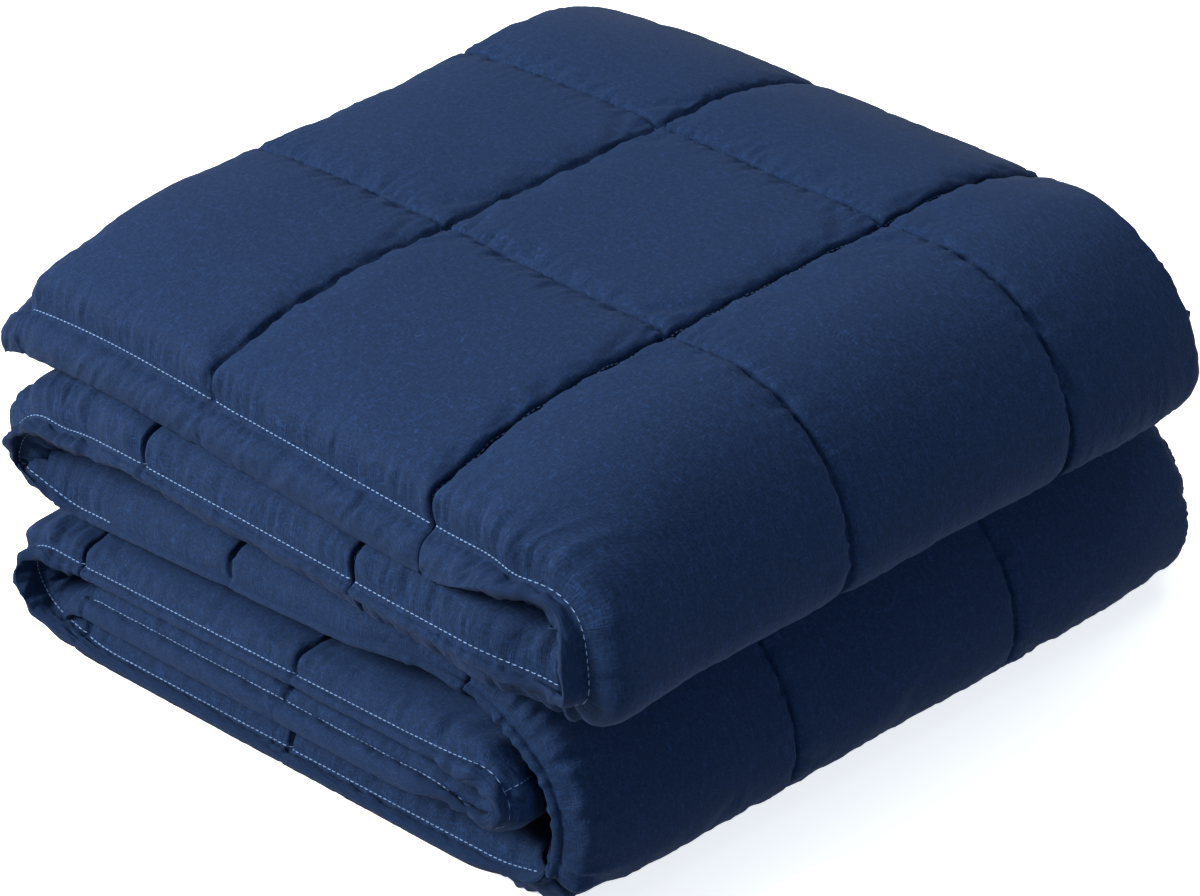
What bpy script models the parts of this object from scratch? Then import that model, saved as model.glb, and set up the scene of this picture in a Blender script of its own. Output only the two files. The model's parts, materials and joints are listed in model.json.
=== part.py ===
"""A square-quilted weighted blanket, folded back and forth into a block of six layers.

The blanket is made as the real one is. A long filled quilt, three squares wide, is built flat:
a grid of cloth with two faces. Its middle surface is then laid along a folded section, and the
two faces are set off from it by the crown of each quilted square. Sizes are in millimetres and
become metres where the mesh is placed. +Z is up, X runs along the cloth, Y across it, and the
origin is on the floor under the middle of the folded block.
"""

from collections import namedtuple
from math import ceil, cos, pi, sin

import bmesh
import bpy
import numpy as np

MM = 0.001

# Driving sizes of the quilt.
SQUARE = 125.0            # one quilted square of cloth, seam to seam
SQUARES_WIDE = 3
HEM = 24.0                # hem band outside the last seam, on all four sides
INNER_PINCH = 0.76        # share of its filled thickness that a square keeps at a seam
EDGE_PINCH = 0.20         # the same at the seams that part the squares from the hem
GROOVE = 0.11             # share of a square over which it rises from each seam
HEM_SEAM_THICKNESS = 5.0
HEM_THICKNESS = 7.0
HEM_EDGE_THICKNESS = 4.0

# Driving sizes of the folded block. x is from the left end seam of the top layer, about, and y
# from its near side seam.
BLOCK_MIDDLE = (154.0, 177.5)     # x and y that go to the origin
DRAWN_SQUARE = 121.0              # a square's width once the filling has drawn it in
FAR_BEND_IN = 94.0                # how far in from a far side seam the cloth bends down to it
END_REACH = 80.0                  # the same at the free end of the top layer
END_DROP = 5.0
END_SKEW = 1.3                    # times a layer's skew that its free end is skewed
FAR_CORNER = 21.0                 # how much further out its far corner lies
FAR_HALF = 171.0                  # from the block's middle to its far side
FAR_LIFT = 0.00006                # the far side stands higher, per mm of width
BEND_FILL = 0.80                  # share of a bend's radius that its inner face may fill
CURL_SHARE = 0.75                 # share of a far or end hem band's width over which it curls

# One row for each layer of cloth, in the order the cloth is folded. height is of the layer's
# middle at x = 0, rise is per mm of x, and the puffs are its filled thickness at the left and the
# right. near_left, near_right and far_y are the y of its side seams, middle_y that of its middle.
# A drop is how far a side seam hangs below the layer's middle, bend_in how far in from its near
# seam it bends down to it, and a curl the angle that a hem band turns down, curl_left and
# curl_right the near one's. near_band is the width of near hem band that isn't tucked under, and
# near_reach the share of it that curls.
Layer = namedtuple("Layer", "name height rise puff_left puff_right near_left near_right drop_left drop_right "
                            "bend_in curl_left curl_right near_band near_reach middle_y far_y far_drop far_curl skew")
LAYERS = (
    Layer("top",    153.5,  0.014, 35.0, 38.0,   5.0,  5.0, 14.0, 15.0,
          94.0,  98.0,  98.0, 18.0, 0.75, 186.0, 344.5, 18.0, 80.0, -0.055),
    Layer("second", 110.5,  0.004, 35.0, 38.0, -11.0, -4.0,  6.5,  3.0,
          40.0, 168.0, 168.0,  4.5, 0.55, 184.0, 346.0,  6.0,  0.0,  0.00),
    Layer("third",   70.0,  0.055, 27.0, 22.0,  -1.0,  4.0, 15.0,  1.0,
          34.0, 180.0, 180.0,  3.5, 0.55, 178.0, 346.0,  6.0, 20.0,  0.00),
    Layer("base",     8.5,  0.013, 20.0, 26.0, -12.0,  9.5,  5.0,  3.0,
          60.0,   5.0,  25.0,  5.0, 0.60, 178.0, 343.0,  3.0,  0.0,  0.00),
    Layer("fourth",  39.0,  0.058, 21.0, 21.0,  -6.0, -1.0,  6.0,  0.0,
          40.0, 160.0, 160.0,  4.0, 0.55, 178.0, 345.0,  4.0, 20.0,  0.00),
    Layer("fifth",   25.5,  0.036, 15.0, 16.0,  -4.0, -3.0,  7.0, -7.0,
          40.0,  75.0,  75.0,  8.0, 0.60, 178.0, 343.0,  4.0,  0.0,  0.00),
)

# One row for each fold between two layers: where the middle of its cloth reaches furthest, how
# far the bend starts before that and ends after it, and its side seams. An inset is how far a
# side seam is drawn into the fold, near_insets the near one's at shares of the way round, and a
# curl the angle that its hem band turns into the fold.
Fold = namedtuple("Fold", "name tip_x tip_z reach_in reach_out near_y near_insets near_curl near_band "
                          "near_reach middle_y far_y far_inset far_curl")
FOLDS = (
    Fold("front_top",   330.0, 112.0, 50.0, 24.0,   3.0, ((0.22, 12.0), (0.32, 7.0), (0.46, -8.0), (0.66, -4.0), (0.90, -5.0)),
           18.0,  8.0, 0.60, 186.0, 331.0, 5.0, 40.0),
    Fold("back_top",     17.0,  71.0, 58.0, 18.0,  -6.0, ((0.10, 9.0), (0.28, 9.0), (0.46, 2.0), (0.65, -1.0), (0.85, -3.0)),
           20.0,  6.0, 0.60, 182.0, 348.0, 0.0,  0.0),
    Fold("front_wrap",  319.0,  28.0, 87.0, 13.0,  13.0, ((0.30, 0.0), (0.60, -2.0), (0.85, 5.0)),
          150.0,  3.5, 0.50, 178.0, 351.0, 5.0, 75.0),
    Fold("back_wrap",    20.0,  27.0, 22.0, 22.0,  -7.0, ((0.30, 3.0), (0.80, 3.0)),
          -10.0, 10.0, 0.50, 178.0, 344.0, 0.0,  0.0),
    Fold("front_inner", 293.0,  44.0, 18.0, 14.0,   0.0, ((0.15, 0.0), (0.50, -12.0), (0.85, 0.0)),
           90.0,  8.0, 0.50, 178.0, 340.0, 1.0,  5.0),
)

# Where each cross seam lies: x on a layer, or the share of the way round a fold.
CROSS_SEAMS = (
    ("top", 4.0), ("top", 125.0), ("top", 250.0), ("front_top", 0.80), ("second", 225.0),
    ("second", 106.0), ("back_top", 0.85), ("third", 144.0), ("front_wrap", 0.26), ("front_wrap", 0.95),
    ("base", 175.0), ("base", 56.0), ("fourth", 55.0), ("fourth", 185.0), ("front_inner", 0.45),
    ("fifth", 178.0), ("fifth", 56.0),
)

END_BAND_TURN = 1.35      # radians that the hem band of an end turns down
FREE_CORNER = (0.85, 0.90)         # shares of its drop and curl that a side has at a free corner
CORNER_ROUND = 0.95                # how round a free corner is, up to 1
SEAM_SPREAD = (0.0, 0.06, 0.25, 0.75, 0.94)   # grid lines across a square, closer at its seams
HEM_SPREAD = (0.20, 0.45, 1.0)
GATHER = 0.60             # share of its width that a near hem band loses where it turns over
GATHER_REACH = 12.0
PINCHES = (("front_top", 0.42),)   # folds that have one more, and the share of the way round of it
SIZE_SMOOTHING = 13
MOST_TURN = 0.60          # radians of bend between two grid lines
PATH_STEP = 1.0

NAVY = (0.016, 0.040, 0.130, 1.0)


def layer_height(layer, x):
    return layer.height + layer.rise * x


def smooth(values, reach):
    """Average each value with its neighbours, up to reach places away."""
    window = np.hanning(2 * reach + 3)[1:-1]
    window /= window.sum()
    return np.convolve(np.pad(values, reach, mode="edge"), window, mode="valid")


def fold_points(fold, before, after, heading):
    """Two quarter ellipses that meet at the fold's tip."""
    start_x = fold.tip_x - heading * fold.reach_in
    end_x = fold.tip_x - heading * fold.reach_out
    rise_in = layer_height(before, start_x) - fold.tip_z
    rise_out = layer_height(after, end_x) - fold.tip_z
    turns = np.linspace(0.0, pi / 2, 40)[1:]
    first = [(start_x + heading * fold.reach_in * sin(a), fold.tip_z + rise_in * cos(a)) for a in turns]
    second = [(end_x + heading * fold.reach_out * cos(a), fold.tip_z + rise_out * sin(a)) for a in turns]
    return first + second, end_x


def end_band(start):
    """The hem band of an end of the cloth, which points left and turns down."""
    steps = int(HEM / PATH_STEP)
    x, z = start
    points = []
    for step in range(1, steps + 1):
        angle = END_BAND_TURN * min(1.0, step / steps / CURL_SHARE)
        x -= PATH_STEP * cos(angle)
        z -= PATH_STEP * sin(angle)
        points.append((x, z))
    return points


class Section:
    """The folded section: points along the middle of the cloth, and what varies along them."""

    def __init__(self):
        x_first, x_last = CROSS_SEAMS[0][1], CROSS_SEAMS[-1][1]
        points, owners = [], []
        x, heading = x_first, 1
        for number, layer in enumerate(LAYERS):
            last = number == len(LAYERS) - 1
            x_end = x_last if last else FOLDS[number].tip_x - heading * FOLDS[number].reach_in
            run = np.linspace(x, x_end, max(2, int(abs(x_end - x) / PATH_STEP)))
            points += [(place, layer_height(layer, place) - self.end_drop(layer, place)) for place in run]
            owners += [layer.name] * len(run)
            if not last:
                fold = FOLDS[number]
                bend, x = fold_points(fold, layer, LAYERS[number + 1], heading)
                points += bend
                owners += [fold.name] * len(bend)
                heading = -heading
        head, tail = end_band(points[0])[::-1], end_band(points[-1])
        points = np.array(head + points + tail)
        owners = np.array([LAYERS[0].name] * len(head) + owners + [LAYERS[-1].name] * len(tail))
        self.measure(points, owners)
        self.spread_sizes()

    @staticmethod
    def end_drop(layer, x):
        """The top layer bends down to its end seam."""
        if layer.name != LAYERS[0].name:
            return 0.0
        return END_DROP * max(0.0, 1.0 - (x - CROSS_SEAMS[0][1]) / END_REACH) ** 2

    def measure(self, points, owners):
        """Space the points evenly along the cloth, and find its headings and bends.

        lean is the heading that side seams are set off from: a free end's hem band keeps that of
        the cloth before it, so that its corners hang.
        """
        gaps = np.hypot(*np.diff(points, axis=0).T)
        kept = np.r_[True, gaps > 1e-6]
        points, owners = points[kept], owners[kept]
        along = np.r_[0.0, np.cumsum(np.hypot(*np.diff(points, axis=0).T))]
        self.along = np.arange(0.0, along[-1], PATH_STEP)
        self.x = smooth(np.interp(self.along, along, points[:, 0]), 6)
        self.z = smooth(np.interp(self.along, along, points[:, 1]), 6)
        self.owner = owners[np.minimum(np.searchsorted(along, self.along), len(owners) - 1)]
        angle = np.unwrap(np.arctan2(np.gradient(self.z), np.gradient(self.x)))
        self.angle = smooth(angle, 3)
        self.bend = np.gradient(self.angle, self.along)
        first_end, last_end = HEM, self.along[-1] - HEM
        self.lean = np.interp(np.clip(self.along, first_end, last_end), self.along, self.angle)
        self.seams = [self.seam_place(name, where) for name, where in CROSS_SEAMS]
        self.seams[0], self.seams[-1] = first_end, last_end

    def span(self, name):
        places = self.along[self.owner == name]
        return places[0], places[-1]

    def seam_place(self, name, where):
        """Distance along the cloth of a cross seam."""
        if name in [fold.name for fold in FOLDS]:
            start, end = self.span(name)
            return start + where * (end - start)
        owned = np.where(self.owner == name)[0]
        return self.along[owned[np.argmin(np.abs(self.x[owned] - where))]]

    def spread_sizes(self):
        """Sizes of the side seams and the filling at every point along the cloth.

        Offsets and curls are signed: positive is towards the face that is up on the top layer.
        """
        spots = {}

        def note(place, **sizes):
            for name, value in sizes.items():
                spots.setdefault(name, []).append((place, value))

        for number, layer in enumerate(LAYERS):
            start, end = self.span(layer.name)
            down = -self.face_up(layer.name)
            for share in (0.0, 0.06, 0.34, 0.91, 1.0):
                place = start + share * (end - start)
                free_end = place in (0.0, self.along[-1])
                if share in (0.0, 1.0) and not free_end:
                    continue
                drop, curl = FREE_CORNER if free_end else (1.0, 1.0)
                right = np.clip(np.interp(place, self.along, self.x) / 300.0, 0.0, 1.0)
                near_y, near_drop, near_curl, puff = (first + (last - first) * right for first, last in (
                    (layer.near_left, layer.near_right), (layer.drop_left, layer.drop_right),
                    (layer.curl_left, layer.curl_right), (layer.puff_left, layer.puff_right)))
                at_end = place < END_REACH
                note(place, near_y=near_y, near_off=down * near_drop * drop,
                     near_curl=down * near_curl * curl, near_band=layer.near_band,
                     near_reach=layer.near_reach, bend_in=layer.bend_in, middle_y=layer.middle_y,
                     far_y=layer.far_y, far_off=down * layer.far_drop * drop,
                     far_curl=down * layer.far_curl * curl, far_band=HEM,
                     far_reach=CURL_SHARE, skew=layer.skew * (END_SKEW if at_end else 1.0),
                     corner=FAR_CORNER if at_end else 0.0, puff=puff)
            if number < len(FOLDS):
                fold = FOLDS[number]
                start, end = self.span(fold.name)
                inward = np.sign(np.interp((start + end) / 2, self.along, self.bend))
                for share, near_inset in fold.near_insets:
                    note(start + share * (end - start), near_y=fold.near_y,
                         near_off=inward * near_inset, near_curl=inward * fold.near_curl,
                         near_band=fold.near_band, near_reach=fold.near_reach,
                         middle_y=fold.middle_y, far_y=fold.far_y, far_off=inward * fold.far_inset,
                         far_curl=inward * fold.far_curl, far_band=HEM, far_reach=CURL_SHARE)
        self.sizes = {}
        for name, pairs in spots.items():
            places, values = zip(*pairs)
            self.sizes[name] = smooth(np.interp(self.along, places, values), SIZE_SMOOTHING)
        turned_over = self.along[:-1][np.diff(np.sign(self.sizes["near_curl"])) != 0]
        for name, share in PINCHES:
            start, end = self.span(name)
            turned_over = np.r_[turned_over, start + share * (end - start)]
        for place in turned_over:
            self.sizes["near_band"] *= 1 - GATHER * np.exp(-((self.along - place) / GATHER_REACH) ** 2)
        to_end = np.minimum(self.along, self.along[-1] - self.along) / HEM
        rounded = np.sqrt(1 - CORNER_ROUND * np.maximum(0.0, 1 - to_end) ** 2)
        for band in ("near_band", "far_band"):
            self.sizes[band] *= rounded

    def face_up(self, name):
        """+1 on a layer whose first face is up, and -1 where the folds have turned it over."""
        start, end = self.span(name)
        return float(np.sign(cos(np.interp((start + end) / 2, self.along, self.angle))))


def middle_surface(section, places, widths):
    """Points on the middle of the folded cloth, for places along it and widths across it."""
    x, z, angle = (np.interp(places, section.along, row) for row in (section.x, section.z, section.lean))
    size = {name: np.interp(places, section.along, row) for name, row in section.sizes.items()}
    across = SQUARES_WIDE * SQUARE
    half_square = DRAWN_SQUARE / 2
    seam_y = (size["near_y"], size["middle_y"] - half_square, size["middle_y"] + half_square, size["far_y"])
    points = np.zeros((len(places), len(widths), 3))
    for column, width in enumerate(widths):
        inner = min(max(width, 0.0), across)
        square = min(int(inner / SQUARE), SQUARES_WIDE - 1)
        share = inner / SQUARE - square
        y = seam_y[square] * (1 - share) + seam_y[square + 1] * share
        off = size["near_off"] * np.maximum(0.0, 1 - inner / size["bend_in"]) ** 2
        off = off + size["far_off"] * max(0.0, 1 - (across - inner) / FAR_BEND_IN) ** 2
        if width != inner:
            side, out, reach = ("near", -1, size["bend_in"]) if width < 0 else ("far", 1, FAR_BEND_IN)
            slope = np.arctan(2 * size[side + "_off"] / reach)
            curl = np.radians(size[side + "_curl"])
            beyond, steps = abs(width - inner) / HEM, 8
            for step in range(steps):
                part = np.minimum(1.0, (step + 0.5) / steps * beyond / size[side + "_reach"])
                turn = slope + (curl - slope) * part * part * (3 - 2 * part)
                stretch = size[side + "_band"] * beyond / steps
                y = y + out * np.cos(turn) * stretch
                off = off + np.sin(turn) * stretch
        level = y - BLOCK_MIDDLE[1]
        corner = size["corner"] * np.maximum(0.0, level / FAR_HALF) ** 2
        points[:, column, 0] = x - np.sin(angle) * off + size["skew"] * level - corner
        points[:, column, 1] = y
        points[:, column, 2] = (z + np.cos(angle) * off) * (1 + FAR_LIFT * level)
    return points


def crown(share, first_pinch, last_pinch):
    """Share of its filled thickness that a square has across one direction."""
    pinch = np.where(share < 0.5, first_pinch, last_pinch)
    from_seam = np.minimum(share, 1 - share)
    rise = 0.86 * (1 - np.exp(-3 * from_seam / GROOVE)) + 0.14 * np.sin(pi * share)
    return pinch + (1 - pinch) * rise


def square_crowns(places, seams):
    """Crown of the square at each place between the seams, and how far a place is out on a hem."""
    last = len(seams) - 2
    number = np.clip(np.searchsorted(seams, places, side="right") - 1, 0, last)
    edges = np.array(seams)
    share = np.clip((places - edges[number]) / (edges[number + 1] - edges[number]), 0.0, 1.0)
    first = np.where(number == 0, EDGE_PINCH, INNER_PINCH)
    final = np.where(number == last, EDGE_PINCH, INNER_PINCH)
    out = np.maximum(np.maximum(edges[0] - places, places - edges[-1]), 0.0) / HEM
    return crown(share, first, final), out


def thickness(section, places, widths):
    """Thickness of the quilt at each point of the grid."""
    side_seams = [SQUARE * number for number in range(SQUARES_WIDE + 1)]
    along, out_end = square_crowns(places, section.seams)
    across, out_side = square_crowns(widths, side_seams)
    puff = np.interp(places, section.along, section.sizes["puff"])
    filled = puff[:, None] * along[:, None] * across[None, :]
    out = np.maximum(out_end[:, None], out_side[None, :])
    band = np.interp(out, (0.0, 0.3, 0.7, 1.0),
                     (HEM_SEAM_THICKNESS, HEM_THICKNESS, HEM_THICKNESS, HEM_EDGE_THICKNESS))
    notch = np.where(out_end[:, None] > 0, across[None, :], along[:, None])
    both = (out_end[:, None] > 0) & (out_side[None, :] > 0)
    return np.where(out > 0, band * np.where(both, 1.0, notch), filled)


def grid_lines(section):
    """Places along the cloth and widths across it where the grid has its lines."""
    lines = []
    for start, end in zip(section.seams[:-1], section.seams[1:]):
        marks = [start + share * (end - start) for share in SEAM_SPREAD] + [end]
        for first, second in zip(marks[:-1], marks[1:]):
            angles = np.interp((first, second), section.along, section.angle)
            parts = max(1, ceil(abs(angles[1] - angles[0]) / MOST_TURN))
            lines += [first + (second - first) * part / parts for part in range(parts)]
    lines.append(section.seams[-1])
    head = [section.seams[0] - HEM * share for share in HEM_SPREAD[::-1]]
    tail = [section.seams[-1] + HEM * share for share in HEM_SPREAD]
    squares = [SQUARE * (number + share) for number in range(SQUARES_WIDE) for share in SEAM_SPREAD]
    across = SQUARE * SQUARES_WIDE
    near = [-HEM * share for share in HEM_SPREAD[::-1]]
    far = [across + HEM * share for share in HEM_SPREAD]
    return np.array(head + lines + tail), np.array(near + squares + [across] + far)


def faces_of_cloth(section, places, widths):
    """The two faces of the folded quilt: the middle surface set off by half the thickness."""
    middle = middle_surface(section, places, widths)
    step = 0.5
    ahead = middle_surface(section, places + step, widths)
    behind = middle_surface(section, places - step, widths)
    wider = middle_surface(section, places, widths + step)
    narrower = middle_surface(section, places, widths - step)
    normal = np.cross(ahead - behind, wider - narrower)
    normal /= np.linalg.norm(normal, axis=2, keepdims=True)
    half = thickness(section, places, widths) / 2
    size = {name: np.interp(places, section.along, row) for name, row in section.sizes.items()}
    bends = [np.repeat(np.interp(places, section.along, section.bend)[:, None], len(widths), axis=1)]
    for side, outside in (("near", widths < 0), ("far", widths > SQUARES_WIDE * SQUARE)):
        curl = np.radians(size[side + "_curl"]) / (size[side + "_reach"] * size[side + "_band"])
        bends.append(curl[:, None] * outside[None, :])
    first, second = half, half
    for bend in bends:
        room = BEND_FILL / np.maximum(np.abs(bend), 1e-6)
        first = np.where(bend > 0, np.minimum(first, room), first)
        second = np.where(bend < 0, np.minimum(second, room), second)
    return middle + normal * first[..., None], middle - normal * second[..., None]


def flat_quilt(rows, columns):
    """A closed flat slab with a grid on both faces, on which x, y and z are row, column and face."""
    bm = bmesh.new()
    bmesh.ops.create_grid(bm, x_segments=rows - 1, y_segments=columns - 1, size=0.5)
    bmesh.ops.solidify(bm, geom=bm.faces[:], thickness=1.0)
    bmesh.ops.recalc_face_normals(bm, faces=bm.faces)
    return bm


def make_blanket(collection):
    section = Section()
    places, widths = grid_lines(section)
    first, second = faces_of_cloth(section, places, widths)
    bm = flat_quilt(len(places), len(widths))
    levels = [vertex.co.z for vertex in bm.verts]
    halfway = (min(levels) + max(levels)) / 2
    for vertex in bm.verts:
        row = round((vertex.co.x + 0.5) * (len(places) - 1))
        column = round((vertex.co.y + 0.5) * (len(widths) - 1))
        face = first if vertex.co.z > halfway else second
        x, y, z = face[row, column]
        vertex.co = ((x - BLOCK_MIDDLE[0]) * MM, (y - BLOCK_MIDDLE[1]) * MM, max(z, 0.0) * MM)
    mesh = bpy.data.meshes.new("blanket")
    bm.to_mesh(mesh)
    bm.free()
    mesh.shade_smooth()
    blanket = bpy.data.objects.new("blanket", mesh)
    collection.objects.link(blanket)
    mesh.materials.append(navy_cotton())
    return blanket


def navy_cotton():
    material = bpy.data.materials.new("navy_cotton")
    material.use_nodes = True
    shader = material.node_tree.nodes["Principled BSDF"]
    shader.inputs["Base Color"].default_value = NAVY
    shader.inputs["Roughness"].default_value = 0.85
    shader.inputs["Metallic"].default_value = 0.0
    return material


def main():
    for item in list(bpy.data.objects):
        bpy.data.objects.remove(item)
    collection = bpy.data.collections.new("weighted_blanket")
    bpy.context.scene.collection.children.link(collection)
    make_blanket(collection)


main()
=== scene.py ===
"""A square-quilted weighted blanket, folded back and forth into a block of six layers.

The quilt is cut and sewn flat in numbers: a grid of cloth with two faces, squares that crown
between their seams and a hem band all round. Its middle surface is laid along a folded section,
simulated cloth lets each square billow between its stitch lines, and puckers, creases and the
stitches themselves are worked in last. Sizes of the cloth are in millimetres and become metres
where a mesh is made. +Z is up, X runs along the cloth, Y across it.
"""

import json
from collections import namedtuple
from math import cos, pi, radians, sin

import bmesh
import bpy
import numpy as np
from bpy.props import FloatProperty, FloatVectorProperty, IntProperty, PointerProperty
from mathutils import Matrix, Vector

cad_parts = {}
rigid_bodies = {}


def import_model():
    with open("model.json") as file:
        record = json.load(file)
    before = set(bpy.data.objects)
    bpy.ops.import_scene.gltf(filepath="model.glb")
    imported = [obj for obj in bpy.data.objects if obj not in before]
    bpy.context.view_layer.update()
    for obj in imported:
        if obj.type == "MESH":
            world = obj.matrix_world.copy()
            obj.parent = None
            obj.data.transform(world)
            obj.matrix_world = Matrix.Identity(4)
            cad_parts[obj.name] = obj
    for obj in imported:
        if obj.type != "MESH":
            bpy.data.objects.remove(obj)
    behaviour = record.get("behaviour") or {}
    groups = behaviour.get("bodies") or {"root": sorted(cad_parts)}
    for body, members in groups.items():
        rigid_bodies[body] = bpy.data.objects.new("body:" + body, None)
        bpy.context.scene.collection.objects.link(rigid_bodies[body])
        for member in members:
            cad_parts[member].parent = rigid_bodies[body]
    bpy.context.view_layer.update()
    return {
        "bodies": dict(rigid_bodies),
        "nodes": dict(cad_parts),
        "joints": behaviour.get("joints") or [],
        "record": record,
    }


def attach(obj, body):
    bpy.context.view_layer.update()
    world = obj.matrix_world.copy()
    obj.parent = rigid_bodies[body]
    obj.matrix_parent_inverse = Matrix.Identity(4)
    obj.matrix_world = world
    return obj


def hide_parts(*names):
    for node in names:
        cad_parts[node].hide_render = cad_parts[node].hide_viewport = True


bl_info = {
    "name": "Folded weighted blanket",
    "version": (1, 0, 0),
    "blender": (4, 5, 0),
    "location": "3D View > Sidebar > Blanket",
    "description": "Makes a folded, quilted weighted blanket, its stitching and a plain stage",
    "category": "Add Mesh",
}

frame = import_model()

MM = 0.001
BODY = "root"
CLOTH_NODE = "blanket"
CLOTH_SLOT = "navy_cotton"


# ---- The quilt's own sizes, in millimetres ----

SQUARE = 125.0            # one quilted square of cloth, seam to seam
SQUARES_WIDE = 3
WIDTH = SQUARE * SQUARES_WIDE
HEM = 24.0                # hem band outside the last seam, on all four sides
INNER_PINCH = 0.84        # share of its filled thickness that a square keeps at a seam
EDGE_PINCH = 0.20         # the same at the seams that part the squares from the hem
RISE_SHARE = 0.055        # share of a square over which it rises from each seam
HEM_NOTCH = 0.6           # share of a square's pinch at a seam that the hem band shows there
HEM_SEAM_THICKNESS = 3.0
HEM_THICKNESS = 4.2
HEM_EDGE_THICKNESS = 3.0

BLOCK_MIDDLE = (154.0, 177.5)     # x and y that go to the origin
DRAWN_SQUARE = 121.0              # a square's width once the filling has drawn it in
FAR_BEND_IN = 94.0                # how far in from a far side seam the cloth bends down to it
END_REACH = 80.0                  # the same at the free end of the top layer
END_DROP = 5.0
END_SKEW = 1.3                    # times a layer's skew that its free end is skewed
FAR_CORNER = 21.0                 # how much further out its far corner lies
FAR_HALF = 171.0                  # from the block's middle to its far side
FAR_LIFT = 0.00006                # the far side stands higher, per mm of width
BEND_FILL = 0.80                  # share of a bend's radius that its inner face may fill
CURL_SHARE = 0.75                 # share of a far or end hem band's width over which it curls

# One row for each layer of cloth, in the order the cloth is folded. height is of the layer's
# middle at x = 0, rise is per mm of x, and the puffs are its filled thickness at the left and the
# right. near_left, near_right and far_y are the y of its side seams, middle_y that of its middle.
# A drop is how far a side seam hangs below the layer's middle, bend_in how far in from its near
# seam it bends down to it, and a curl the angle that a hem band turns down, curl_left and
# curl_right the near one's. near_band is the width of near hem band that isn't tucked under, and
# near_reach the share of it that curls.
Layer = namedtuple("Layer", "name height rise puff_left puff_right near_left near_right drop_left "
                            "drop_right bend_in curl_left curl_right near_band near_reach middle_y "
                            "far_y far_drop far_curl skew")
LAYERS = (
    Layer("top",    153.5,  0.014, 35.0, 38.0,   5.0,  5.0, 14.0, 15.0,
          94.0,  98.0,  98.0, 18.0, 0.75, 186.0, 344.5, 18.0, 80.0, -0.055),
    Layer("second", 110.5,  0.004, 35.0, 38.0, -11.0, -4.0,  6.5,  3.0,
          40.0, 168.0, 168.0,  3.4, 0.55, 184.0, 346.0,  6.0,  0.0,  0.00),
    Layer("third",   70.0,  0.055, 27.0, 22.0,  -1.0,  4.0, 15.0,  1.0,
          34.0, 180.0, 180.0,  3.0, 0.55, 178.0, 346.0,  6.0, 20.0,  0.00),
    Layer("base",     8.5,  0.013, 20.0, 26.0, -12.0,  9.5,  5.0,  3.0,
          60.0,   5.0,  25.0,  5.0, 0.60, 178.0, 343.0,  3.0,  0.0,  0.00),
    Layer("fourth",  39.0,  0.058, 21.0, 21.0,  -6.0, -1.0,  6.0,  0.0,
          40.0, 160.0, 160.0,  3.2, 0.55, 178.0, 345.0,  4.0, 20.0,  0.00),
    Layer("fifth",   25.5,  0.036, 15.0, 16.0,  -4.0, -3.0,  7.0, -7.0,
          40.0,  75.0,  75.0,  8.0, 0.60, 178.0, 343.0,  4.0,  0.0,  0.00),
)

# One row for each fold between two layers: where the middle of its cloth reaches furthest, how
# far the bend starts before that and ends after it, and its side seams. An inset is how far a
# side seam is drawn into the fold, near_insets the near one's at shares of the way round, a curl
# the angle that its hem band turns into the fold, and gather the height of the pleats that the
# near seam draws up.
Fold = namedtuple("Fold", "name tip_x tip_z reach_in reach_out near_y near_insets near_curl "
                          "near_band near_reach middle_y far_y far_inset far_curl gather")
FOLDS = (
    Fold("front_top",   330.0, 112.0, 50.0, 24.0,   3.0,
         ((0.22, 12.0), (0.32, 7.0), (0.46, -8.0), (0.66, -4.0), (0.90, -5.0)),
          18.0,  8.0, 0.60, 186.0, 327.0, 1.0, 75.0, 1.5),
    Fold("back_top",     17.0,  71.0, 58.0, 18.0,  -6.0,
         ((0.10, 9.0), (0.28, 9.0), (0.46, 2.0), (0.65, -1.0), (0.85, -3.0)),
          20.0,  6.0, 0.60, 182.0, 348.0, 0.0,  0.0, 2.0),
    Fold("front_wrap",  319.0,  28.0, 87.0, 13.0,  13.0,
         ((0.30, 0.0), (0.60, -2.0), (0.85, 5.0)),
         150.0,  3.5, 0.50, 178.0, 351.0, 5.0, 75.0, 1.2),
    Fold("back_wrap",    20.0,  27.0, 22.0, 22.0,  -7.0, ((0.30, 3.0), (0.80, 3.0)),
         -10.0, 10.0, 0.50, 178.0, 344.0, 0.0,  0.0, 2.2),
    Fold("front_inner", 293.0,  44.0, 18.0, 14.0,   0.0,
         ((0.15, 0.0), (0.50, -12.0), (0.85, 0.0)),
          90.0,  8.0, 0.50, 178.0, 340.0, 1.0,  5.0, 2.0),
)

# Where each cross seam lies: x on a layer, or the share of the way round a fold.
CROSS_SEAMS = (
    ("top", 4.0), ("top", 125.0), ("top", 250.0), ("front_top", 0.80), ("second", 225.0),
    ("second", 106.0), ("back_top", 0.85), ("third", 144.0), ("front_wrap", 0.26),
    ("front_wrap", 0.95), ("base", 175.0), ("base", 56.0), ("fourth", 55.0), ("fourth", 185.0),
    ("front_inner", 0.45), ("fifth", 178.0), ("fifth", 56.0),
)

END_BAND_TURN = 1.35               # radians that the hem band of an end turns down
FREE_CORNER = (0.85, 0.90)         # shares of its drop and curl that a side has at a free corner
CORNER_ROUND = 0.95                # how round a free corner is, up to 1
GATHER = 0.60                      # share of its width that a near hem band loses at a turn
GATHER_REACH = 12.0                # and how far along the cloth that reaches
PINCHES = (("front_top", 0.42),)   # folds with one more such place, and the share of the way round
TUCKED = ("third", "front_wrap")   # where the near seam is turned under, its stitches hidden,
TUCKED_FROM = 70.0                 # from this x on
SIZE_SMOOTHING = 13                # steps of the path over which the sizes go into one another
PATH_STEP = 1.0


# ---- The folded section ----

def layer_height(layer, x):
    return layer.height + layer.rise * x


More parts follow.
